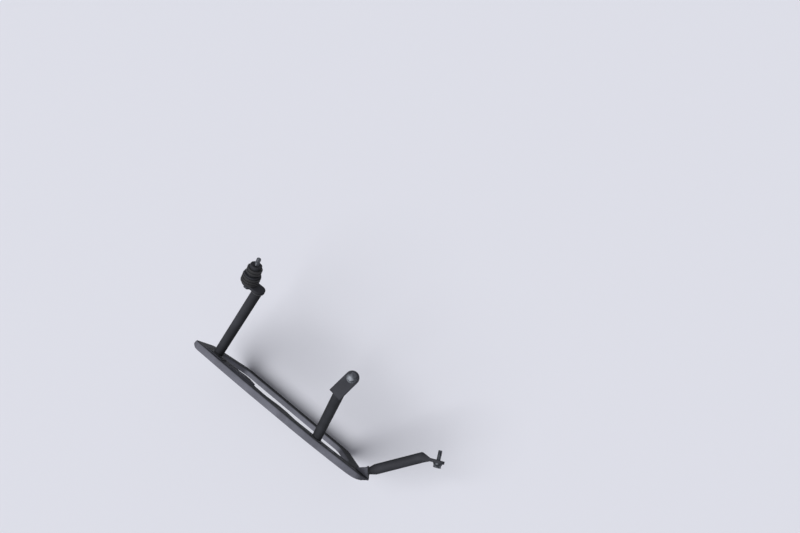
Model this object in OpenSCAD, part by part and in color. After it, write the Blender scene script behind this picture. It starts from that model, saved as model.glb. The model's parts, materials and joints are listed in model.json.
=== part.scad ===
// Pannier frame for the right hand side of a motorcycle.
// X runs to the front of the machine, Y inboard, Z up. Millimetres.
// The origin is where the rear mount's top spacer meets the tail, on its screw.

/* [Main sizes] */
// length of the side plate
plate_l = 418; // [404:2:434]
// height of the plate from the highest point to the lower beam edge
plate_h = 201; // [190:1:215]
// distance of the rear eye inboard of the side plate
eye_in = 147; // [138:1:156]
// height of the rear eye above the rear corner of the side plate
eye_up = 98; // [92:1:106]
// distance of the middle strut end inboard of the side plate
mid_in = 104; // [98:1:112]
// height of the middle strut end above the rear corner of the side plate
mid_up = 108; // [100:1:116]
// distance of the front strut end inboard of the side plate
front_in = 91; // [87:1:96]

/* [Pressed side plate] */
// thickness of the pressed steel sheet
sheet_t = 2.5; // [1.5:0.1:4]
// depth of the flange turned outboard round the edge
flange_d = 12.5; // [8:0.5:18]
// depth of the flange turned outboard round the opening
lip_d = 10; // [6:0.5:16]
// height of the lower beam
low_beam_h = 37; // [28:1:45]
// height the wing panel and the slot web are pressed inboard
press_h = 2; // [1:0.5:4]

/* [Slots and holes in the side plate] */
// width of the slanting slot
slot_w = 9; // [6:0.5:12]
// length of the slanting slot between the end centres
slot_l = 30; // [20:1:36]
// angle of the slanting slot below the top beam
slot_angle = 30; // [20:1:40]
// diameter of the small wing holes
wing_hole_d = 4.5; // [3:0.5:6]
// diameter of the hole at the low point of the slot web
web_hole_d = 5.5; // [3:0.5:8]
// diameter of the hole in the middle of the top beam
beam_hole_d = 6.5; // [4:0.5:9]
// width of the oval window near the front
oval_w = 10; // [6:0.5:12]
// length of the oval window between the end centres
oval_l = 8; // [4:0.5:14]
// width of the two short front slots
short_w = 5; // [3:0.5:7]
// length of the short front slots between the end centres
short_l = 5; // [3:0.5:8]

/* [Tube struts] */
// outer diameter of the strut tube
tube_d = 19; // [17:0.5:20]
// wall of the strut tube
tube_wall = 2; // [1.5:0.1:3]
// diameter of the swaged foot of the front strut
foot_d = 12; // [11:0.5:13]
// length over which the front strut narrows to its foot
swage_l = 14; // [10:1:20]
// width of the weld beads at the side plate
bead_w = 3; // [2:0.5:4]
// width of the weld beads at the eye and the middle tab
end_bead_w = 2.5; // [1.5:0.5:2.5]
// width of the weld bead at the swaged foot
foot_bead_w = 2; // [1:0.5:2]
// height of the weld beads off the face they stand on
bead_h = 3.5; // [2:0.5:5]

/* [Rear mount] */
// thickness of the rear eye plate
eye_t = 5; // [4:0.5:8]
// outer radius of the rear eye
eye_r = 13; // [11:0.5:16]
// offset of the strut end from the eye centre
eye_offset = 22; // [22:0.5:27]
// bore of the rear eye
eye_bore = 8.4; // [8.2:0.1:9]
// thread diameter of the mounting screws
screw_d = 8; // [7.8:0.1:8]
// diameter of the plain shank under the rolled thread of the mounting screws
shank_d = 7.4; // [5.4:0.2:7.6]
// length of rear screw that stands past the sleeve
rear_reach = 14; // [8:1:20]
// diameter of the rubber bush
bush_d = 33; // [28:0.5:38]
// height of the rubber bush
bush_h = 15; // [12:0.5:18]
// depth of each groove round the rubber bush
groove_d = 2; // [1:0.5:3]
// width of each groove round the rubber bush
groove_w = 2; // [1:0.5:3]
// diameter of the steel disc on the bush
disc_d = 31; // [27:0.5:36]
// thickness of the steel disc
disc_t = 3; // [2:0.5:4]
// diameter of the neck above the disc
neck_d = 22; // [17:0.5:26]
// height of the neck above the disc
neck_h = 3.5; // [2:0.5:6]
// diameter of the top rubber ring
ring_d = 27; // [22:0.5:32]
// height of the top rubber ring
ring_h = 10; // [7:0.5:13]
// diameter of the top spacer
cap_d = 21; // [16:0.5:26]
// height of the top spacer
cap_h = 6.5; // [4:0.5:10]

/* [Middle and front mounts] */
// thickness of the flat end tabs
tab_t = 5; // [4:0.5:7]
// half width of the flat end tabs
tab_r = 12; // [10:0.5:15]
// bore of the flat end tabs
tab_bore = 8.4; // [8.2:0.1:9]
// distance from the middle tube end to its bore
mid_tab_l = 24; // [22:1:30]
// distance from the bend of the front tube to its bore
front_tab_l = 31; // [29:1:36]
// length over which the front tube is pressed flat
press_l = 16; // [14:1:18]
// length of the middle screw that stands past its tab
mid_reach = 20; // [12:1:30]
// length of the front screw that stands past its tab
front_reach = 18; // [12:1:26]
// thickness of the folded corner bracket
bracket_t = 3; // [2:0.5:4]
// height of the folded corner bracket
bracket_h = 28; // [22:1:34]

/* [Hardware] */
// width across flats of the screw heads
head_af = 13; // [10:1:17]
// height of the screw heads
head_h = 5.5; // [4:0.5:8]
// diameter of the flange under a screw head
head_flange_d = 17; // [15.5:0.5:17.5]
// thickness of the flange under a screw head
head_flange_t = 1.6; // [1:0.1:2.5]
// outer diameter of the plain washers
washer_d = 18; // [17.5:0.5:18.5]
// thickness of the plain washers
washer_t = 1.6; // [1:0.1:2.5]
// clearance of washers and sleeves round a screw
run_gap = 0.2; // [0.1:0.05:0.4]

/* [Hidden] */
$fn = 72;

// places along the plate are given for a plate 418 long and follow its real length
function along(x) = x * plate_l / 418;
span = 2 * plate_l;

// plate frame points of the mounts and the strut ends
rear_eye_at = [along(37), eye_in, eye_up];
rear_foot = [along(34), 0, -28];
mid_foot = [along(284), 0, -25];
mid_end = [along(283.5), mid_in, mid_up];
front_foot = [along(393.5), 9.5, -72];
front_end = [along(457.3), front_in, -58];
eye_tilt = 50;
mid_turn = 8;
front_turn = -24;
wing_turn = 38.5;

tube_r = tube_d / 2;
mid_heel = tube_r + 6;
foot_r = foot_d / 2;
press_r = tab_r - 0.3;
low_z = 4 - plate_h;
low_top_z = low_z + low_beam_h;

// corner points of the plate edge: x, z, corner radius
edge = stretched([[0, -3, 16], [60, 2, 200], [130, 4, 400], [268, -1, 300], [340, -16, 160],
    [386, -30, 20], [404, -58, 10], [402, -90, 12], [378, -106, 20], [334, low_z, 24],
    [52, low_z, 24],
    [-14, -112, 20], [-14, -84, 30]]);
// corner points of the opening
gap_edge = stretched([[36, -62, 10], [82, -67, 14], [108, -56, 20], [128, -39, 20],
    [158, -35, 24], [184, -49, 20], [206, -50, 20], [230, -40, 20], [262, -46, 40],
    [304, -48, 60], [352, -62, 14], [352, -92, 20], [318, low_top_z, 20], [62, low_top_z, 18],
    [14, -98, 10]]);

function stretched(p) = [for (c = p) [along(c[0]), c[1], c[2]]];
function unit(v) = v / norm(v);
function turn(a, b) = a[0] * b[1] - a[1] * b[0];
function at(p, i) = p[(i + len(p)) % len(p)];

// moves every side of a closed outline by g to its right and keeps the corner arcs concentric
function moved(p, g) = [for (i = [0:len(p) - 1])
    let (
        a = at(p, i - 1), b = p[i], c = at(p, i + 1),
        u = unit([b[0] - a[0], b[1] - a[1]]),
        v = unit([c[0] - b[0], c[1] - b[1]]),
        s = turn(u, v) > 0 ? 1 : -1,
        n = [u[1], -u[0]], m = [v[1], -v[0]],
        k = g / (1 + n * m)
    ) [b[0] + k * (n[0] + m[0]), b[1] + k * (n[1] + m[1]), max(0.5, b[2] + s * g)]];

// closed outline with an arc at each corner
function rounded(p) = [for (i = [0:len(p) - 1])
    let (
        a = at(p, i - 1), b = p[i], c = at(p, i + 1),
        u = unit([b[0] - a[0], b[1] - a[1]]),
        v = unit([c[0] - b[0], c[1] - b[1]]),
        w = asin(max(-1, min(1, turn(u, v)))),
        full = u * v < 0 ? (w > 0 ? 180 - w : -180 - w) : w,
        t = b[2] * tan(abs(full) / 2),
        n = full > 0 ? [-u[1], u[0]] : [u[1], -u[0]],
        o = [b[0] - t * u[0] + b[2] * n[0], b[1] - t * u[1] + b[2] * n[1]],
        q = max(1, ceil(abs(full) / 7.5))
    ) each [for (j = [0:q])
        let (f = full * j / q)
        [o[0] - b[2] * (n[0] * cos(f) - n[1] * sin(f)),
         o[1] - b[2] * (n[0] * sin(f) + n[1] * cos(f))]]];

// a flat outline in X and Z, raised along Y from y0 to y1
module slab(p, y0, y1) {
    translate([0, y1, 0]) rotate([90, 0, 0]) linear_extrude(y1 - y0) polygon(p);
}

// a straight slot cut along Y
module slot_cut(x, z, w, l, a, y0, y1) {
    translate([along(x), y1, z]) rotate([0, a, 0]) rotate([90, 0, 0]) {
        translate([-l / 2, -w / 2, 0]) cube([l, w, y1 - y0]);
        for (s = [-1, 1]) translate([s * l / 2, 0, 0]) cylinder(d = w, h = y1 - y0);
    }
}

// a round hole cut along Y
module hole_cut(x, z, d, y0, y1) {
    translate([along(x), y1, z]) rotate([90, 0, 0]) cylinder(d = d, h = y1 - y0);
}

// stands at p with its Z axis along v
module towards(p, v) {
    translate(p) rotate([0, acos(v[2] / norm(v)), atan2(v[1], v[0])]) rotate([0, 0, 35]) children();
}

// everything up to h ahead of the plane through p that v stands on
module ahead(p, v, h) {
    towards(p, v) translate([-span / 10, -span / 10, 0]) cube([span / 5, span / 5, h]);
}

// a bar or hole from a to b
module rod(a, b, r) {
    towards(a, b - a) cylinder(r = r, h = norm(b - a));
}

wing_panel = stretched([[14, -12, 6], [54, -7, 5], [50, -48, 8], [28, -56, 10], [8, -88, 4],
    [-1, -88, 4]]);
slot_web = stretched([[61, -9, 4], [76, -11, 6], [128, -36, 8], [120, -54, 8], [96, -58, 8],
    [62, -36, 6]]);

module plate_cuts(y0, y1) {
    slot_cut(85, -27, slot_w, slot_l, slot_angle, y0, y1);
    hole_cut(116, -43, web_hole_d, y0, y1);
    hole_cut(23, -28, wing_hole_d, y0, y1);
    hole_cut(11, -56, wing_hole_d, y0, y1);
    hole_cut(8, -70, wing_hole_d, y0, y1);
    hole_cut(195, -20, beam_hole_d, y0, y1);
    slot_cut(316, -34, oval_w, oval_l, 14, y0, y1);
    slot_cut(341, -38, short_w, short_l, 30, y0, y1);
    slot_cut(368, -43, short_w, short_l, 30, y0, y1);
}

// pressed plate with its outer flange, which runs out at the front, and the lip round the opening
module side_plate() color("#26282b") difference() {
    union() {
        difference() {
            slab(rounded(edge), -flange_d, 0);
            slab(rounded(moved(edge, sheet_t)), -flange_d - 1, -sheet_t);
        }
        slab(rounded(moved(gap_edge, -sheet_t)), -lip_d, -sheet_t / 2);
        slab(rounded(wing_panel), -sheet_t / 2, press_h);
        slab(rounded(slot_web), -sheet_t / 2, press_h);
    }
    slab(rounded(gap_edge), -flange_d - 1, press_h + 1);
    plate_cuts(-flange_d - 2, press_h + 1);
    translate([0, 0, -span / 2]) linear_extrude(span) polygon([[along(355), -flange_d - 1],
        [along(398), -sheet_t], [span, -sheet_t], [span, -span / 8], [along(355), -span / 8]]);
}

// everything between two planes across Y
module across_y(y0, y1) {
    translate([-span / 2, y0, -span / 2]) cube([2 * span, y1 - y0, span]);
}

// local frames of the mounts
module at_eye() translate(rear_eye_at) rotate([-eye_tilt, 0, 0]) children();
mid_bore = mid_end + mid_tab_l * [sin(mid_turn), cos(mid_turn), 0] + [0, 0, tab_t];
module at_mid() translate(mid_bore) rotate([0, 0, -mid_turn]) children();
front_way = [cos(front_turn), -sin(front_turn), 0];
front_bore = front_end + front_tab_l * front_way - tab_t / 2 * [sin(front_turn), cos(front_turn), 0];
module at_front() translate(front_bore) rotate([0, 0, -front_turn]) rotate([-90, 0, 0])
    children();

module eye_solid() at_eye() translate([0, 0, -eye_t]) {
    cylinder(r = eye_r, h = eye_t);
    translate([eye_offset, 0, 0]) cylinder(r = eye_r - 1, h = eye_t);
    translate([0, 1 - eye_r, 0]) cube([eye_offset, 2 * eye_r - 2, eye_t]);
}

// centre lines of the struts, run on past both ends before they are cut to fit
rear_end = rear_eye_at + [eye_offset, -sin(eye_tilt) * eye_t, -cos(eye_tilt) * eye_t];
rear_line = [rear_foot - 20 * unit(rear_end - rear_foot), rear_end + 20 * unit(rear_end - rear_foot)];
mid_line = [mid_foot - 25 * unit(mid_end - mid_foot), mid_end + 25 * unit(mid_end - mid_foot)];
front_dir = unit(front_end - front_foot);
front_stop = norm(front_end - front_foot) - tube_r / 2;
mitre = unit(front_dir + front_way);

module ring_along(line, r1, r2) difference() {
    rod(line[0], line[1], r1);
    rod(line[0], line[1], r2);
}
module strut_tube(line) ring_along(line, tube_r, tube_r - tube_wall);

// slabs that cut the struts and their weld beads to the faces they meet
module under_eye(h) at_eye() translate([-span / 8, -span / 3, -eye_t - h])
    cube([span / 3, 2 * span / 3, h]);
module under_tab(h) at_mid() translate([-span / 8, -span / 3, -tab_t - h])
    cube([span / 4, span / 2, h]);
module past_bracket(h) translate(front_foot) rotate([0, 0, wing_turn])
    translate([0, -span / 10, -span / 10]) cube([h, span / 5, span / 5]);

module rear_strut() color("#2a2c2f") intersection() {
    strut_tube(rear_line);
    across_y(press_h, span / 2);
    under_eye(span / 2);
}
module middle_strut() color("#2a2c2f") intersection() {
    strut_tube(mid_line);
    across_y(0, span / 2);
    under_tab(span / 2);
}
module front_strut() color("#2a2c2f") intersection() {
    towards(front_foot, front_dir) rotate_extrude() polygon([
        [foot_r - tube_wall, -foot_r], [foot_r, -foot_r], [foot_r, 0], [tube_r, swage_l],
        [tube_r, front_stop], [tube_r - tube_wall, front_stop], [tube_r - tube_wall, swage_l],
        [foot_r - tube_wall, 0]]);
    past_bracket(span / 4);
}

module rear_foot_weld() color("#232527") intersection() {
    ring_along(rear_line, tube_r + bead_w, tube_r);
    across_y(press_h, press_h + bead_h);
}
module middle_foot_weld() color("#232527") intersection() {
    ring_along(mid_line, tube_r + bead_w, tube_r);
    across_y(0, bead_h);
}
module front_foot_weld() color("#232527") intersection() {
    towards(front_foot, front_dir) rotate_extrude() polygon([
        [foot_r, -foot_r], [foot_r + foot_bead_w, -foot_r],
        [foot_r + foot_bead_w, foot_bead_w * swage_l / (tube_r - foot_r)], [foot_r, 0]]);
    past_bracket(bead_h);
}
module rear_eye_weld() color("#232527") intersection() {
    ring_along(rear_line, tube_r + end_bead_w, tube_r);
    under_eye(bead_h);
}
module middle_tab_weld() color("#232527") intersection() {
    ring_along(mid_line, tube_r + end_bead_w, tube_r);
    under_tab(bead_h);
}
// folded bracket in the front corner with a leaf, a wing for the front strut and a web over both
wing_way = [cos(wing_turn), sin(wing_turn)];
fold = [-wing_way[1], wing_way[0]];
seat_at = [front_foot[0], front_foot[1]];
wing_in = seat_at + (foot_r + foot_bead_w + 0.5) * fold;
wing_out = seat_at - seat_at[1] / fold[1] * fold;
leaf_end = wing_out[0] - 28;
back_at = seat_at - bracket_t * wing_way;
inner_fold = back_at + (bracket_t - back_at[1]) / fold[1] * fold;
module front_bracket() color("#232527") translate([0, 0, front_foot[2] - bracket_h / 2]) {
    linear_extrude(bracket_h) polygon([[leaf_end, 0], wing_out, wing_in,
        wing_in - bracket_t * wing_way, inner_fold, [leaf_end, bracket_t]]);
    translate([0, 0, bracket_h - bracket_t]) linear_extrude(bracket_t)
        polygon([[leaf_end, 0], wing_out, wing_in, [leaf_end, bracket_t]]);
}

module rear_eye() color("#2a2c2f") difference() {
    eye_solid();
    at_eye() translate([0, 0, -eye_t - 1]) cylinder(d = eye_bore, h = eye_t + 2);
}

// stack of the rear mount, from the screw head up to the tail
module sleeve(d, bore, z, h) at_eye() translate([0, 0, z]) difference() {
    cylinder(d = d, h = h);
    translate([0, 0, -1]) cylinder(d = bore, h = h + 2);
}
clear_bore = screw_d + 2 * run_gap;
bush_z = 0;
disc_z = bush_z + bush_h;
neck_z = disc_z + disc_t;
ring_z = neck_z + neck_h;
cap_z = ring_z + ring_h;
stack_h = cap_z + cap_h;

module rear_washer() color("#3c3f42") sleeve(washer_d, clear_bore, -eye_t - washer_t, washer_t);
module rubber_bush() color("#17181a") difference() {
    sleeve(bush_d, clear_bore, bush_z, bush_h);
    for (i = [1, 2]) at_eye()
        translate([0, 0, bush_z + i * bush_h / 3 - groove_w / 2]) difference() {
            cylinder(d = bush_d + 2, h = groove_w);
            translate([0, 0, -1]) cylinder(d = bush_d - 2 * groove_d, h = groove_w + 2);
        }
}
module bush_disc() color("#3c3f42") sleeve(disc_d, clear_bore, disc_z, disc_t);
module bush_neck() color("#2a2c2f") sleeve(neck_d, clear_bore, neck_z, neck_h);
module top_ring() color("#17181a") difference() {
    sleeve(ring_d, clear_bore, ring_z, ring_h);
    at_eye() translate([0, 0, ring_z + ring_h / 2 - groove_w / 2]) difference() {
        cylinder(d = ring_d + 2, h = groove_w);
        translate([0, 0, -1]) cylinder(d = ring_d - 2 * groove_d, h = groove_w + 2);
    }
}
module top_spacer() color("#2a2c2f") sleeve(cap_d, clear_bore, cap_z, cap_h);

// a flanged hexagon screw with the head below z = 0, the last stretch reach long is threaded
module screw(l, reach) {
    translate([0, 0, -head_flange_t]) cylinder(d = head_flange_d, h = head_flange_t);
    translate([0, 0, -head_flange_t - head_h]) cylinder(d = head_af / cos(30), h = head_h, $fn = 6);
    translate([0, 0, -0.5]) cylinder(d = shank_d, h = l - reach + 1);
    translate([0, 0, l - reach]) cylinder(d = screw_d, h = reach);
}
module rear_screw() color("#3c3f42") at_eye() translate([0, 0, -eye_t - washer_t])
    screw(eye_t + washer_t + stack_h + rear_reach, rear_reach);

// middle mount: flat tab on the tube end with an upright screw
module middle_tab_solid() at_mid() translate([0, 0, -tab_t]) {
    cylinder(r = tab_r, h = tab_t);
    translate([-tab_r, -mid_tab_l - mid_heel, 0]) cube([2 * tab_r, mid_tab_l + mid_heel, tab_t]);
}
module middle_tab() color("#2a2c2f") difference() {
    middle_tab_solid();
    at_mid() translate([0, 0, -tab_t - 1]) cylinder(d = tab_bore, h = tab_t + 2);
}
module middle_washer() color("#3c3f42") at_mid() difference() {
    cylinder(d = washer_d, h = washer_t);
    translate([0, 0, -1]) cylinder(d = clear_bore, h = washer_t + 2);
}
module middle_screw() color("#3c3f42") at_mid() translate([0, 0, washer_t]) rotate([180, 0, 0])
    screw(washer_t + tab_t + mid_reach, mid_reach);

// front mount: the end of the front tube, bent and pressed flat to stand along the machine
function wedge(x) = tab_t / 2 + (press_l - x) * (tube_r - tab_t / 2) / (press_l - 1);
module pressed_end() {
    intersection() {
        translate([-front_tab_l, 0, tab_t / 2]) rotate([0, 90, 0]) rotate_extrude() polygon([
            [0, -tube_d], [tube_r, -tube_d], [tube_r, 0], [press_r, press_l + 3], [0, press_l + 3]]);
        slab([
            [-front_tab_l - tube_d, tab_t / 2 - wedge(-tube_d)],
            [press_l + 2 - front_tab_l, tab_t / 2 - wedge(press_l + 2)],
            [press_l + 2 - front_tab_l, tab_t / 2 + wedge(press_l + 2)],
            [-front_tab_l - tube_d, tab_t / 2 + wedge(-tube_d)]], -2 * tab_r, 2 * tab_r);
    }
}
module front_tab() color("#2a2c2f") difference() {
    union() {
        intersection() {
            rod(front_foot + front_stop * front_dir, front_end + tube_d * front_dir, tube_r - 0.05);
            ahead(front_end, -mitre, span / 8);
        }
        intersection() {
            at_front() pressed_end();
            ahead(front_end, mitre, span / 8);
        }
        at_front() cylinder(r = tab_r, h = tab_t);
        at_front() translate([press_l - 1 - front_tab_l, -tab_r, 0])
            cube([front_tab_l - press_l + 1, 2 * tab_r, tab_t]);
    }
    at_front() translate([0, 0, -1]) cylinder(d = tab_bore, h = tab_t + 2);
}
module front_washer() color("#3c3f42") at_front() translate([0, 0, -washer_t]) difference() {
    cylinder(d = washer_d, h = washer_t);
    translate([0, 0, -1]) cylinder(d = clear_bore, h = washer_t + 2);
}
module front_screw() color("#3c3f42") at_front() translate([0, 0, -washer_t])
    screw(washer_t + tab_t + front_reach, front_reach);
rear_seat = rear_eye_at + stack_h * [0, sin(eye_tilt), cos(eye_tilt)];

translate(-rear_seat) {
    side_plate();
    rear_strut();
    middle_strut();
    front_strut();
    rear_foot_weld();
    middle_foot_weld();
    front_bracket();
    front_foot_weld();
    rear_eye();
    rear_eye_weld();
    rear_screw();
    rear_washer();
    rubber_bush();
    bush_disc();
    bush_neck();
    top_ring();
    top_spacer();
    middle_tab();
    middle_tab_weld();
    middle_screw();
    middle_washer();
    front_tab();
    front_screw();
    front_washer();
}
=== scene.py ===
import json
import math
import bmesh
import bpy
from mathutils import Matrix, Vector, noise


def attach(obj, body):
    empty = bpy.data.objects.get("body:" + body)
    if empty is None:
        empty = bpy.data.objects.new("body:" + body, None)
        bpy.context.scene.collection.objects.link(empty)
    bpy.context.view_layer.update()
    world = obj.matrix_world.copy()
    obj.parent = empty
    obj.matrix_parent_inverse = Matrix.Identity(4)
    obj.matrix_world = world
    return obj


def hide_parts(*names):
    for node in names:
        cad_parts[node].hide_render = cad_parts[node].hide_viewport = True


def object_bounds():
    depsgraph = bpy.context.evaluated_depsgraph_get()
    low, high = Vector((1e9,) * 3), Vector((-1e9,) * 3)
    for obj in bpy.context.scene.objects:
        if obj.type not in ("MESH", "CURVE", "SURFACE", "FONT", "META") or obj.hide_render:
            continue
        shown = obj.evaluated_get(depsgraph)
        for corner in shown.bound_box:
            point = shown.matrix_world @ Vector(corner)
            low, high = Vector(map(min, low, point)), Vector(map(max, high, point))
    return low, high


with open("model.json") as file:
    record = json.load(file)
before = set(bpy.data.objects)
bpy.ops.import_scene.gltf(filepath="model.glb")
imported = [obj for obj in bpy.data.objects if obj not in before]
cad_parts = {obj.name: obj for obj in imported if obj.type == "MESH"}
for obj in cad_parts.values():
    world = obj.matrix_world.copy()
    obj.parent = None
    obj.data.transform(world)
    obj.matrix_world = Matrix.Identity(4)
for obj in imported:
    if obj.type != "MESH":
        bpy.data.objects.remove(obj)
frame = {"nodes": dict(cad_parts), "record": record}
nodes = frame["nodes"]
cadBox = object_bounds()
print("frame loaded:", len(nodes), "nodes")


def hexColour(code):
    channels = [int(code[i:i + 2], 16) / 255 for i in (1, 3, 5)]
    return [c / 12.92 if c <= 0.04045 else ((c + 0.055) / 1.055) ** 2.4 for c in channels] + [1]


def addNode(tree, kind, settings=None, links=None):
    node = tree.nodes.new(kind)
    for name, value in (settings or {}).items():
        if name == "stops":  # places and hex colours of a colour ramp
            while len(node.color_ramp.elements) < len(value):
                node.color_ramp.elements.new(0.5)
            for element, (place, colour) in zip(node.color_ramp.elements, value):
                element.position = place
                element.color = hexColour(colour)
        elif isinstance(name, int) or name in node.inputs:
            node.inputs[name].default_value = value
        else:
            setattr(node, name, value)
    for socket, source in (links or {}).items():
        tree.links.new(source, node.inputs[socket])
    return node


def startMaterial(name, base, roughness, metallic=0.0, ior=1.5):
    material = bpy.data.materials.new(name)
    material.use_nodes = True
    shader = material.node_tree.nodes["Principled BSDF"]
    shader.inputs["Base Color"].default_value = hexColour(base)
    shader.inputs["Roughness"].default_value = roughness
    shader.inputs["Metallic"].default_value = metallic
    if metallic == 0:  # a metal keeps the default
        shader.inputs["IOR"].default_value = ior
    material.diffuse_color = hexColour(base)
    return material, material.node_tree, shader


# polyester powder coat, matt to satin black: sprayed and baked, so it has a fine orange peel, a soft wide
# highlight and thinner and paler film in places. What faces up is painted paler: a painted sheen of the
# light from above mixed with pale dust, in patches and specks. The specks are drawn coarser than real
# ones, so that they show. Sizes here and below are in metres.
coat = {
    "base": "#121314", "thin": "#1b1d1f", "dustAndSheen": "#81828d", "dustAndSheenPatches": (0.7, 1.0),
    "roughness": (0.60, 0.74), "specular": 0.12, "peelSize": 0.0017, "peelDepth": 0.00007,
    "cloudSize": 0.045, "speckSize": 0.0012,
}


def powderCoatSatin(name, dustAndSheen):
    material, tree, shader = startMaterial(name, coat["base"], coat["roughness"][0])
    shader.inputs["Specular IOR Level"].default_value = coat["specular"]
    place = addNode(tree, "ShaderNodeTexCoord").outputs["Object"]
    cloud = addNode(tree, "ShaderNodeTexNoise",
                    {"Scale": 1 / coat["cloudSize"], "Detail": 4, "Roughness": 0.6}, {"Vector": place})
    peel = addNode(tree, "ShaderNodeTexNoise",
                   {"Scale": 1 / coat["peelSize"], "Detail": 2, "Roughness": 0.5}, {"Vector": place})
    speck = addNode(tree, "ShaderNodeTexNoise",
                    {"Scale": 1 / coat["speckSize"], "Detail": 3}, {"Vector": place})
    film = addNode(tree, "ShaderNodeValToRGB", {"stops": [(0.35, coat["base"]), (0.7, coat["thin"])]},
                   {"Fac": cloud.outputs["Fac"]})
    # what faces up is painted paler by its normal: a painted sheen of the light from above, mixed with
    # patchy dust
    normal = addNode(tree, "ShaderNodeNewGeometry").outputs["Normal"]
    up = addNode(tree, "ShaderNodeSeparateXYZ", links={"Vector": normal}).outputs["Z"]
    upSheenAndDust = addNode(tree, "ShaderNodeMapRange", {"From Min": 0.15, "From Max": 1.0, "To Max": dustAndSheen},
                     {"Value": up})
    patches = addNode(tree, "ShaderNodeMapRange",
                      {"From Min": 0.35, "From Max": 0.65, "To Min": coat["dustAndSheenPatches"][0],
                       "To Max": coat["dustAndSheenPatches"][1]}, {"Value": cloud.outputs["Fac"]})
    specks = addNode(tree, "ShaderNodeMapRange",
                     {"From Min": 0.35, "From Max": 0.65, "To Min": 0.8, "To Max": 1.0},
                     {"Value": speck.outputs["Fac"]})
    patchySheenAndDust = addNode(tree, "ShaderNodeMath", {"operation": "MULTIPLY"},
                      {0: upSheenAndDust.outputs["Result"], 1: patches.outputs["Result"]})
    grainy = addNode(tree, "ShaderNodeMath", {"operation": "MULTIPLY"},
                     {0: patchySheenAndDust.outputs[0], 1: specks.outputs["Result"]})
    colour = addNode(tree, "ShaderNodeMix", {"data_type": "RGBA", 7: hexColour(coat["dustAndSheen"])},
                     {0: grainy.outputs[0], 6: film.outputs["Color"]})
    tree.links.new(colour.outputs[2], shader.inputs["Base Color"])
    rough = addNode(tree, "ShaderNodeMapRange",
                    {"To Min": coat["roughness"][0], "To Max": coat["roughness"][1]},
                    {"Value": cloud.outputs["Fac"]})
    tree.links.new(rough.outputs["Result"], shader.inputs["Roughness"])
    bump = addNode(tree, "ShaderNodeBump", {"Strength": 0.6, "Distance": coat["peelDepth"]},
                   {"Height": peel.outputs["Fac"]})
    tree.links.new(bump.outputs["Normal"], shader.inputs["Normal"])
    return material


# MIG weld bead under the same powder coat: the ripples are in its mesh, the coat adds a pitted grain,
# which is drawn coarser than the real one
bead = {"base": "#1b1c1e", "worn": "#2c2e31", "roughness": 0.46, "grain": 0.0016, "depth": 0.00012}


def weldBeadCoated(name):
    material, tree, shader = startMaterial(name, bead["base"], bead["roughness"])
    place = addNode(tree, "ShaderNodeTexCoord").outputs["Object"]
    grain = addNode(tree, "ShaderNodeTexNoise", {"Scale": 1 / bead["grain"], "Detail": 3},
                    {"Vector": place})
    tone = addNode(tree, "ShaderNodeValToRGB", {"stops": [(0.3, bead["base"]), (0.75, bead["worn"])]},
                   {"Fac": grain.outputs["Fac"]})
    tree.links.new(tone.outputs["Color"], shader.inputs["Base Color"])
    bump = addNode(tree, "ShaderNodeBump", {"Strength": 0.8, "Distance": bead["depth"]},
                   {"Height": grain.outputs["Fac"]})
    tree.links.new(bump.outputs["Normal"], shader.inputs["Normal"])
    return material


# steel, black zinc plated: a thin dark conversion film over metal, so dark grey with a metal's gloss,
# mottled and paler where it has been handled, with scratches drawn coarser than real ones
plating = {"base": "#3a3c40", "worn": "#6b6e73", "roughness": (0.28, 0.46), "mottle": 0.006,
           "scratch": 0.0009, "scratchDepth": 0.00005}


def blackZincSteel(name):
    material, tree, shader = startMaterial(name, plating["base"], plating["roughness"][0], metallic=1.0)
    place = addNode(tree, "ShaderNodeTexCoord").outputs["Object"]
    mottle = addNode(tree, "ShaderNodeTexNoise",
                     {"Scale": 1 / plating["mottle"], "Detail": 5, "Roughness": 0.65}, {"Vector": place})
    tone = addNode(tree, "ShaderNodeValToRGB",
                   {"stops": [(0.35, plating["base"]), (0.8, plating["worn"])]},
                   {"Fac": mottle.outputs["Fac"]})
    tree.links.new(tone.outputs["Color"], shader.inputs["Base Color"])
    rough = addNode(tree, "ShaderNodeMapRange",
                    {"To Min": plating["roughness"][0], "To Max": plating["roughness"][1]},
                    {"Value": mottle.outputs["Fac"]})
    tree.links.new(rough.outputs["Result"], shader.inputs["Roughness"])
    scratch = addNode(tree, "ShaderNodeTexNoise", {"Scale": 1 / plating["scratch"], "Detail": 2},
                      {"Vector": place})
    bump = addNode(tree, "ShaderNodeBump", {"Strength": 0.25, "Distance": plating["scratchDepth"]},
                   {"Height": scratch.outputs["Fac"]})
    tree.links.new(bump.outputs["Normal"], shader.inputs["Normal"])
    return material


# carbon filled rubber, press moulded: near black, matt, with a grey bloom and a fine spark eroded grain,
# which is drawn coarser than the real one
rubber = {"base": "#0e0e10", "bloom": "#1d1d20", "roughness": 0.72, "ior": 1.52, "bloomSize": 0.014,
          "grain": 0.0011, "grainDepth": 0.00012}


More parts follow.
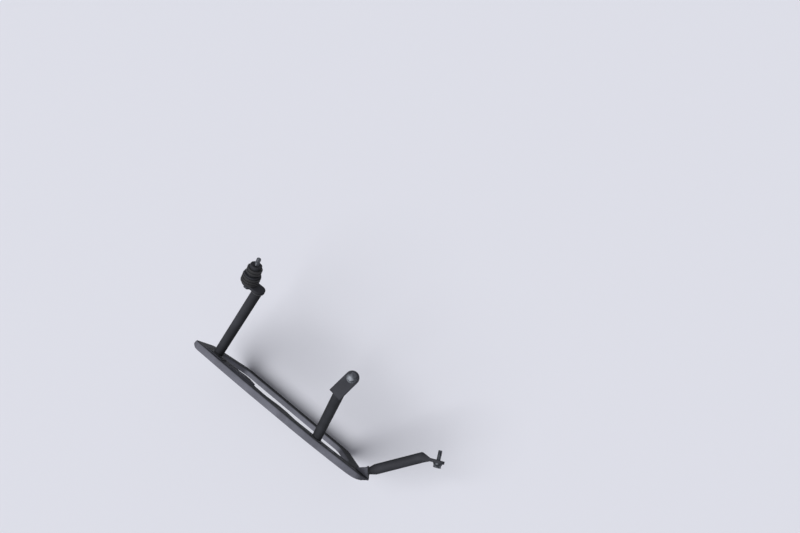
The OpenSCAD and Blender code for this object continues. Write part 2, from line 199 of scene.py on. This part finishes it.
def mouldedRubber(name):
    material, tree, shader = startMaterial(name, rubber["base"], rubber["roughness"], ior=rubber["ior"])
    place = addNode(tree, "ShaderNodeTexCoord").outputs["Object"]
    bloom = addNode(tree, "ShaderNodeTexNoise", {"Scale": 1 / rubber["bloomSize"], "Detail": 4},
                    {"Vector": place})
    tone = addNode(tree, "ShaderNodeValToRGB",
                   {"stops": [(0.4, rubber["base"]), (0.75, rubber["bloom"])]},
                   {"Fac": bloom.outputs["Fac"]})
    tree.links.new(tone.outputs["Color"], shader.inputs["Base Color"])
    grain = addNode(tree, "ShaderNodeTexNoise", {"Scale": 1 / rubber["grain"], "Detail": 3},
                    {"Vector": place})
    bump = addNode(tree, "ShaderNodeBump", {"Strength": 0.5, "Distance": rubber["grainDepth"]},
                   {"Height": grain.outputs["Fac"]})
    tree.links.new(bump.outputs["Normal"], shader.inputs["Normal"])
    return material


# the last argument is the share of the pale film, painted sheen mixed with dust, on a face that looks
# straight up
finishes = {
    "plate": powderCoatSatin("powderCoatPlate", dustAndSheen=0.9),
    "tube": powderCoatSatin("powderCoatTube", dustAndSheen=0.22),
    "weld": weldBeadCoated("weldBeadCoated"),
    "screw": blackZincSteel("blackZincSteel"),
    "bush": mouldedRubber("mouldedRubber"),
    "disc": powderCoatSatin("powderCoatDisc", dustAndSheen=0.2),
}
slotOf = {row["node"]: row["material_slot"] for row in frame["record"]["subparts"]}
for name, node in nodes.items():
    for place in node.material_slots:
        place.material = finishes[slotOf[name]]
print("finishes given to", len(slotOf), "nodes")


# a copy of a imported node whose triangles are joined, with its flat faces made whole
def mergedCopy(name):
    work = bmesh.new()
    work.from_mesh(nodes[name].data)
    bmesh.ops.remove_doubles(work, verts=work.verts, dist=0.000002)
    bmesh.ops.dissolve_limit(work, angle_limit=math.radians(0.5), verts=work.verts, edges=work.edges)
    return work


def sharpEdges(work, degrees):
    return [e for e in work.edges if len(e.link_faces) == 2
            and e.calc_face_angle(0) > math.radians(degrees)]


def roundEdges(work, edges, radius, segments):
    bmesh.ops.bevel(work, geom=edges, offset=radius, offset_type="OFFSET", affect="EDGES",
                    segments=segments, profile=0.5, material=-1, clamp_overlap=False)


def placePiece(work, name, nodeName, smoothBelow=35):
    mesh = bpy.data.meshes.new(name)
    bmesh.ops.dissolve_degenerate(work, dist=0.000001, edges=work.edges)
    for face in work.faces:
        face.smooth = len(face.verts) < 5  # faces with more corners are the flat ones
    bmesh.ops.triangulate(work, faces=[f for f in work.faces if len(f.verts) > 4])
    work.to_mesh(mesh)
    work.free()
    mesh.set_sharp_from_angle(angle=math.radians(smoothBelow))
    piece = bpy.data.objects.new(name, mesh)
    bpy.context.collection.objects.link(piece)
    mesh.materials.append(finishes[slotOf[nodeName]])
    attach(piece, "root")
    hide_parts(nodeName)


# side plate: the sheet's folds are rounded, the pressed panels have soft edges, the cut rims are broken.
# Places along and up the plate are in metres from its rear top corner, a rounding is a radius and its
# segments.
plate = {
    "originX": -0.037, "originZ": -0.12242593,  # that corner in the frame
    "faceY": -0.17610969, "sheet": 0.0025, "press": 0.002,
    "flange": 0.0124,  # slightly under the solid's own, so that nothing stands past it
    "fold": (0.0023, 5), "innerFold": (0.0012, 3), "panel": (0.0009, 3), "rim": (0.00035, 2),
    "foldAngle": 40, "rimAngle": 60,  # smallest angles of the edges that are rounded
    "loopSpan": 0.04,  # a narrower loop of edges is the rim of a hole and no fold
    "cornerPull": 0.010, "cornerX": (0.004, 0.030), "cornerZ": (-0.084, -0.045),
    "pullRim": 0.0045, "pullAcross": 0.022,  # further in the sheet stays, and its holes with it
    "cornerCut": 0.005, "cutX": (-0.002, 0.012), "cutZ": (-0.05, -0.02),
    "runOutFrom": 0.3588, "runOutTo": 0.398, "runOutCentre": 0.362, "runOutLow": -0.075, "runOutCuts": 9,
    "wallFrom": 0.001, "nearly": 0.0001, "onFace": 0.00005, "level": 0.00002,  # tolerances
}


def edgesAt(work, height, convex):
    return [e for e in sharpEdges(work, plate["foldAngle"]) if e.is_convex == convex
            and all(abs(v.co.y - plate["faceY"] - height) < plate["level"] for v in e.verts)]


# those of the edges that make loops wider along the plate than loopSpan
def wideLoops(edges):
    left, wide = dict.fromkeys(edges), []
    while left:
        loop, ends = [], [next(iter(left))]
        del left[ends[0]]
        while ends:
            edge = ends.pop()
            loop.append(edge)
            for other in [e for vert in edge.verts for e in vert.link_edges if e in left]:
                left.pop(other, None)
                ends.append(other)
        reach = [vert.co.x for edge in loop for vert in edge.verts]
        if max(reach) - min(reach) > plate["loopSpan"]:
            wide += loop
    return wide


def ease(value, low, high):
    share = min(1, max(0, (value - low) / (high - low)))
    return share * share * (3 - 2 * share)


# the flange runs out in an arc at the front, where its wall is cut to have vertices enough
def runOutFlange(work):
    first, last = plate["runOutFrom"] + plate["originX"], plate["runOutTo"] + plate["originX"]
    centre = plate["runOutCentre"] + plate["originX"]
    for cut in range(1, plate["runOutCuts"]):
        walls = [f for f in work.faces if abs(f.normal.y) < 0.5
                 and f.calc_center_median().y < plate["faceY"] - plate["wallFrom"]]
        edges = dict.fromkeys(e for f in walls for e in f.edges)
        verts = dict.fromkeys(v for f in walls for v in f.verts)
        place = first + (last - first) * cut / plate["runOutCuts"]
        bmesh.ops.bisect_plane(work, geom=[*walls, *edges, *verts], dist=1e-7, plane_co=(place, 0, 0),
                               plane_no=(1, 0, 0))
    for vert in work.verts:
        out, z = plate["faceY"] - vert.co.y, vert.co.z - plate["originZ"]
        flanged = out > plate["sheet"] + plate["onFace"] and z > plate["runOutLow"]
        if flanged and first < vert.co.x < last - plate["nearly"]:
            arc = math.sqrt(max(0, 1 - (max(0, vert.co.x - centre) / (last - centre)) ** 2))
            vert.co.y = plate["faceY"] - plate["sheet"] - arc * (plate["flange"] - plate["sheet"])


# the rear top corner is squarer than its solid, and its flange is cut slanting
def squareCorner(work):
    for vert in work.verts:
        out = plate["faceY"] - vert.co.y
        x, z = vert.co.x - plate["originX"], vert.co.z - plate["originZ"]
        if x < plate["pullRim"] or x - z < plate["pullAcross"]:
            pull = (1 - ease(x, *plate["cornerX"])) * ease(z, *plate["cornerZ"])
            vert.co.x -= pull * plate["cornerPull"]
        if out > plate["flange"] - plate["nearly"]:
            cut = (1 - ease(x, *plate["cutX"])) * ease(z, *plate["cutZ"])
            vert.co.y += cut * plate["cornerCut"]


def roundPlate():
    work = mergedCopy("side_plate")
    outmost = min(v.co.y for v in work.verts)
    runOutFlange(work)
    squareCorner(work)
    folds = set(wideLoops(edgesAt(work, 0, True)) + wideLoops(edgesAt(work, plate["press"], True)))
    rims = [e for e in sharpEdges(work, plate["rimAngle"]) if e.is_convex and e not in folds]
    roundEdges(work, rims, *plate["rim"])
    for height, convex, bend in (
            (0, True, "fold"), (-plate["sheet"], False, "innerFold"), (plate["press"], True, "panel")):
        roundEdges(work, wideLoops(edgesAt(work, height, convex)), *plate[bend])
    for vert in work.verts:  # a rounded rim may not stand past the flange's own depth
        vert.co.y = max(vert.co.y, outmost)
    placePiece(work, "sidePlate", "side_plate")


# turned, cut and moulded pieces keep their packed form and get the small radius of the real edge:
# node: new name, radius in metres, segments, smallest angle of an edge that is rounded
softened = {
    "rear_eye": ("rearEye", 0.0006, 2, 50), "middle_tab": ("middleTab", 0.0006, 2, 50),
    "front_bracket": ("frontBracket", 0.0007, 3, 30),
    "rear_washer": ("rearWasher", 0.0003, 2, 50), "middle_washer": ("middleWasher", 0.0003, 2, 50),
    "front_washer": ("frontWasher", 0.0003, 2, 50), "rubber_bush": ("rubberBush", 0.0009, 4, 50),
    "top_ring": ("topRing", 0.0009, 4, 50), "bush_disc": ("bushDisc", 0.0007, 3, 50),
    "bush_neck": ("bushNeck", 0.0005, 2, 50), "top_spacer": ("topSpacer", 0.0008, 3, 50),
}


def softenPieces():
    for nodeName, (name, radius, segments, degrees) in softened.items():
        work = mergedCopy(nodeName)
        roundEdges(work, sharpEdges(work, degrees), radius, segments)
        placePiece(work, name, nodeName)


# mounting screws: rolled thread on the free end, broken edges on the hexagon and its flange
screws = {
    "rear_screw": ("rearScrew", "rear_mount"), "middle_screw": ("middleScrew", "middle_mount"),
    "front_screw": ("frontScrew", "front_mount"),
}
thread = {"pitch": 0.00125, "depth": 0.0006, "rings": 6, "radius": 0.004, "chamfer": 0.0009,
          "headEdge": (0.0005, 2), "headAngle": 50, "headDepth": 0.0075, "nearly": 0.0001,
          "leastLean": 0.8}


def cutThreads():
    mounts = {mount["name"]: mount for mount in frame["record"]["mounts"]}
    for nodeName, (name, mountName) in screws.items():
        mount = mounts[mountName]
        length = mount["dims"]["length_mm"] / 1000
        turned = Vector(mount["axis"]).to_track_quat("Z", "Y").to_matrix().to_4x4()
        onMount = Matrix.Translation(mount["pos_m"]) @ turned
        work = mergedCopy(nodeName)
        bmesh.ops.transform(work, matrix=onMount.inverted(), verts=work.verts)
        lowest = min(v.co.z for v in work.verts)
        head = [e for e in sharpEdges(work, thread["headAngle"]) if e.is_convex
                and all(v.co.z < lowest + thread["headDepth"] for v in e.verts)]
        roundEdges(work, head, *thread["headEdge"])
        step = thread["pitch"] / thread["rings"]
        for ring in range(1, int(length / step)):
            bmesh.ops.bisect_plane(work, geom=work.verts[:] + work.edges[:] + work.faces[:], dist=1e-7,
                                   plane_co=(0, 0, ring * step), plane_no=(0, 0, 1))
        for vert in work.verts:
            out = math.hypot(vert.co.x, vert.co.y)
            if vert.co.z > step / 2 and out > thread["radius"] - thread["nearly"]:
                turns = vert.co.z / thread["pitch"] - math.atan2(vert.co.y, vert.co.x) / math.tau
                groove = thread["depth"] * abs(2 * (turns % 1) - 1)
                tip = max(0, vert.co.z - length + thread["chamfer"])
                lean = max(1 - (groove + tip) / out, thread["leastLean"])
                vert.co.x *= lean
                vert.co.y *= lean
        bmesh.ops.transform(work, matrix=onMount, verts=work.verts)
        placePiece(work, name, nodeName, smoothBelow=50)


roundPlate()
print("side plate folded")
softenPieces()
print("small pieces softened:", len(softened))
cutThreads()
print("threads cut:", len(screws))


# weld beads: each one a rounded fillet round a tube, laid on the face that the tube meets.
# A row holds two points of the tube's line, a point and the normal of the face, and the tube's radius
# and the bead's width, all in mm, with the points taken from the plate's rear top corner.
seat = Vector((37, 176.10969, 122.42593))  # the frame's origin, from that corner
weld = {
    "ripple": 0.0019, "steps": 8, "section": 14, "swell": 0.16, "crescent": 0.35, "crestMean": 0.6,
    "wander": 0.12, "wanderSize": 1 / 300,
    "belly": 0.72, "outset": 0.22, "lift": 0.2,  # the section's radius and place, in widths of the bead
}
beads = {
    "rear_foot_weld": {"name": "rearFootBead", "tube": ((34, 0, -28), (59, 143.17, 94.79)),
                       "face": (34, 2, -28), "normal": (0, 1, 0), "radius": 9.5, "width": 3.0},
    "middle_foot_weld": {"name": "middleFootBead", "tube": ((284, 0, -25), (283.5, 104, 108)),
                         "face": (284, 0, -25), "normal": (0, 1, 0), "radius": 9.5, "width": 3.0},
    "front_foot_weld": {"name": "frontFootBead", "tube": ((393.5, 9.5, -72), (457.3, 91, -58)),
                        "face": (393.5, 9.5, -72), "normal": (0.7826, 0.6225, 0), "radius": 6.0,
                        "width": 2.2},
    "rear_eye_weld": {"name": "rearEyeBead", "tube": ((59, 143.17, 94.79), (34, 0, -28)),
                      "face": (37, 143.17, 94.79), "normal": (0, -0.766, -0.6428), "radius": 9.5,
                      "width": 2.5},
    "middle_tab_weld": {"name": "middleTabBead", "tube": ((283.5, 104, 108), (284, 0, -25)),
                        "face": (283.5, 104, 108), "normal": (0, 0, -1), "radius": 9.5, "width": 2.5},
}


def layBeads():
    for nodeName, row in beads.items():
        start, end, face = ((Vector(p) - seat) / 1000 for p in (*row["tube"], row["face"]))
        along, normal = (end - start).normalized(), Vector(row["normal"])
        centre = start + along * normal.dot(face - start) / normal.dot(along)
        radius, width = row["radius"] / 1000, row["width"] / 1000
        ripples = round(math.tau * (radius + width / 2) / weld["ripple"])
        work = bmesh.new()
        ring = bmesh.ops.create_circle(work, segments=weld["section"], radius=weld["belly"] * width)
        middle = Vector((radius + weld["outset"] * width, 0, weld["lift"] * width))
        upright = Matrix.Rotation(math.pi / 2, 3, "X")
        bmesh.ops.rotate(work, verts=ring["verts"], cent=(0, 0, 0), matrix=upright)
        bmesh.ops.translate(work, verts=ring["verts"], vec=middle)
        bmesh.ops.spin(work, geom=work.edges[:], cent=(0, 0, 0), axis=(0, 0, 1), angle=math.tau,
                       steps=ripples * weld["steps"], use_merge=True)
        bmesh.ops.recalc_face_normals(work, faces=work.faces)
        for vert in work.verts:
            turn = math.atan2(vert.co.y, vert.co.x)
            core = Matrix.Rotation(turn, 3, "Z") @ middle
            off = vert.co - core
            phase = turn * ripples / math.tau + weld["crescent"] * off.z / width
            crest = abs(math.sin(math.pi * phase)) - weld["crestMean"]
            drift = noise.noise(core / weld["wanderSize"]) * weld["wander"]
            vert.co = core + off * (1 + weld["swell"] * crest + drift)
        turned = along.to_track_quat("Z", "Y").to_matrix().to_4x4()
        bmesh.ops.transform(work, matrix=Matrix.Translation(centre) @ turned, verts=work.verts)
        for vert in work.verts:  # slid along the tube until the ring lies on the face
            flat = (vert.co - centre) - along * along.dot(vert.co - centre)
            vert.co -= along * normal.dot(flat) / normal.dot(along)
        placePiece(work, row["name"], nodeName, smoothBelow=60)


layBeads()
print("weld beads laid:", len(beads))


# plain floor in matt pale paint under the lowest edge of the plate, one wide soft light from above and
# outboard as if from a large bank far off, and a low light from the room, which is pale where it is seen
studio = {
    "floor": "#dfe0e8", "floorRoughness": 0.9, "floorSize": 40.0, "floorX": 0.2, "floorGap": 0.0005,
    "sky": "#e4e5ec", "roomLevel": 0.30, "from": (-0.30, -0.42, 1.0), "spread": 52, "strength": 2.6,
}


def layFloor():
    work = bmesh.new()
    bmesh.ops.create_grid(work, x_segments=1, y_segments=1, size=studio["floorSize"] / 2)
    under = (studio["floorX"], 0, cadBox[0].z - studio["floorGap"])
    bmesh.ops.translate(work, verts=work.verts, vec=under)
    mesh = bpy.data.meshes.new("floor")
    work.to_mesh(mesh)
    work.free()
    floor = bpy.data.objects.new("floor", mesh)
    bpy.context.collection.objects.link(floor)
    mesh.materials.append(startMaterial("matFloorPaint", studio["floor"], studio["floorRoughness"])[0])


def lightStudio():
    world = bpy.data.worlds.new("studioRoom")
    bpy.context.scene.world = world
    world.use_nodes = True
    tree = world.node_tree
    sky = tree.nodes["Background"]
    sky.inputs["Color"].default_value = hexColour(studio["sky"])
    rays = addNode(tree, "ShaderNodeLightPath")
    seen = addNode(tree, "ShaderNodeMath", {"operation": "MAXIMUM"},
                   {0: rays.outputs["Is Camera Ray"], 1: rays.outputs["Is Glossy Ray"]})
    through = addNode(tree, "ShaderNodeMath", {"operation": "MAXIMUM"},
                      {0: seen.outputs[0], 1: rays.outputs["Is Transmission Ray"]})
    level = addNode(tree, "ShaderNodeMapRange", {"To Min": studio["roomLevel"], "To Max": 1.0},
                    {"Value": through.outputs[0]})
    tree.links.new(level.outputs["Result"], sky.inputs["Strength"])
    light = bpy.data.lights.new("lightBank", "SUN")
    light.angle = math.radians(studio["spread"])
    light.energy = studio["strength"]
    holder = bpy.data.objects.new(light.name, light)
    bpy.context.collection.objects.link(holder)
    holder.location = studio["from"]
    holder.rotation_euler = Vector(studio["from"]).to_track_quat("Z", "Y").to_euler()


# the photograph looks down on the right side of the machine from about a metre
camera = {
    "at": (0.38783, -0.03176, 0.95234), "turn": (15.088, 2.402, 37.768), "lens": 26.1, "sensor": 36,
}


def setCamera():
    data = bpy.data.cameras.new("photoCamera")
    data.lens = camera["lens"]
    data.sensor_width = camera["sensor"]
    holder = bpy.data.objects.new("photoCamera", data)
    bpy.context.collection.objects.link(holder)
    holder.location = camera["at"]
    holder.rotation_euler = [math.radians(a) for a in camera["turn"]]
    bpy.context.scene.camera = holder


layFloor()
lightStudio()
setCamera()
bpy.context.scene.view_settings.view_transform = "Standard"
print("studio ready")
